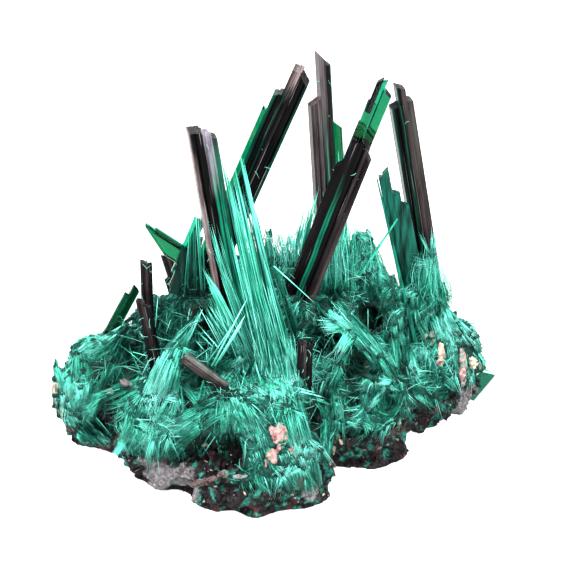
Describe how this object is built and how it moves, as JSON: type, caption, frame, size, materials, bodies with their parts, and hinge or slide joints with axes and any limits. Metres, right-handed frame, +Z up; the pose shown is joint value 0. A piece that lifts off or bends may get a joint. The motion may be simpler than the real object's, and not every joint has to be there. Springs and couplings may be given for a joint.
{
  "type": "brochantite specimen",
  "caption": "Mineral specimen with dark green prismatic crystals and sprays of fine green needles on a lump of rock with a flat underside.",
  "frame": {"origin": "centre of the bounding box's footprint, on the plane that the rock rests on", "axes": "+X runs to the right as seen from the front, +Y to the back and +Z up"},
  "size_m": [0.0339, 0.0219, 0.0291],
  "materials": {
    "rock": "matte",
    "fibre": "satin",
    "dark_crystal": "gloss",
    "clear_crystal": "gloss"
  },
  "bodies": {
    "root": {"matrix": "rock", "fibre_crust": "fibre", "left_prism": "dark_crystal", "back_left_prism": "dark_crystal", "back_prism": "dark_crystal", "front_prism": "dark_crystal", "right_prism": "dark_crystal", "right_side_prism": "clear_crystal", "short_upright_prism": "dark_crystal", "dark_bar_prism": "dark_crystal", "clear_blade": "clear_crystal", "lying_prism": "dark_crystal", "stub_prism": "dark_crystal", "end_blade": "clear_crystal", "slope_blade_high": "clear_crystal", "rear_prism": "dark_crystal", "rear_short_prism": "dark_crystal", "centre_sheaf": "fibre", "back_sheaf": "fibre", "left_sheaf": "fibre", "long_needle": "fibre", "cross_needle": "fibre"}
  },
  "joints": []
}
